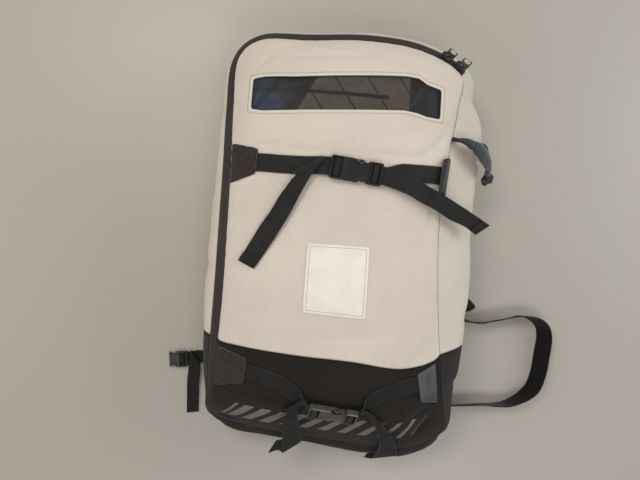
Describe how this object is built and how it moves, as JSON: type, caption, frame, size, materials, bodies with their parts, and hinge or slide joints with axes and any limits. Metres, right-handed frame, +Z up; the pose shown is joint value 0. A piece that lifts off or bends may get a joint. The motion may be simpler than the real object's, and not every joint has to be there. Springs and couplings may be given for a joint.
{
  "type": "packed kitesurfing kite bag",
  "caption": "Stuffed backpack style bag lying on its back panel with a rolled kite inside, a mesh window, a zip around it and compression straps with buckles.",
  "frame": {"origin": "on the floor under the middle of the back panel", "axes": "+X across the bag to its right in the picture, +Y along the bag to its top, +Z up from the floor that it lies on"},
  "size_m": [0.8073, 0.8246, 0.2463],
  "materials": {
    "kite_cloth": "thin coated cloth, slightly shiny",
    "stone_cloth": "matte fine weave",
    "black_cloth": "matte fine weave",
    "dark_mesh": "fine open mesh",
    "zip_tape": "coated tape over the coil",
    "slider_paint": "satin",
    "pull_metal": "satin",
    "label_cloth": "smooth",
    "felt": "fuzzy, cut edges",
    "tab_cloth": "smooth coated cloth",
    "webbing": "ribbed",
    "black_plastic": "satin",
    "grey_plastic": "satin",
    "sleeve_cloth": "soft padded cloth"
  },
  "bodies": {
    "root": {"kite_bundle": "kite_cloth", "back_panel": "black_cloth", "wall_upper": "stone_cloth", "wall_lower": "black_cloth", "front_upper": "stone_cloth", "front_base": "black_cloth", "window_mesh": "dark_mesh", "zip_band": "zip_tape", "zip_slider_1": "slider_paint", "zip_pull_1": "pull_metal", "zip_slider_2": "slider_paint", "zip_pull_2": "pull_metal", "label_patch": "label_cloth", "tab_upper_left": "felt", "tab_lower_left": "felt", "tab_lower_right": "tab_cloth", "tab_upper_right": "tab_cloth", "strap_upper_left": "webbing", "strap_upper_right": "webbing", "strap_lower_left": "webbing", "strap_lower_right": "webbing", "buckle_upper_socket": "black_plastic", "buckle_upper_plug": "black_plastic", "buckle_lower_socket": "black_plastic", "buckle_lower_plug": "black_plastic", "handle_webbing": "webbing", "handle_sleeve": "sleeve_cloth", "handle_end": "webbing", "belt_strap": "webbing", "belt_buckle": "grey_plastic", "loop_strap": "webbing", "strap_tip": "webbing"}
  },
  "joints": []
}
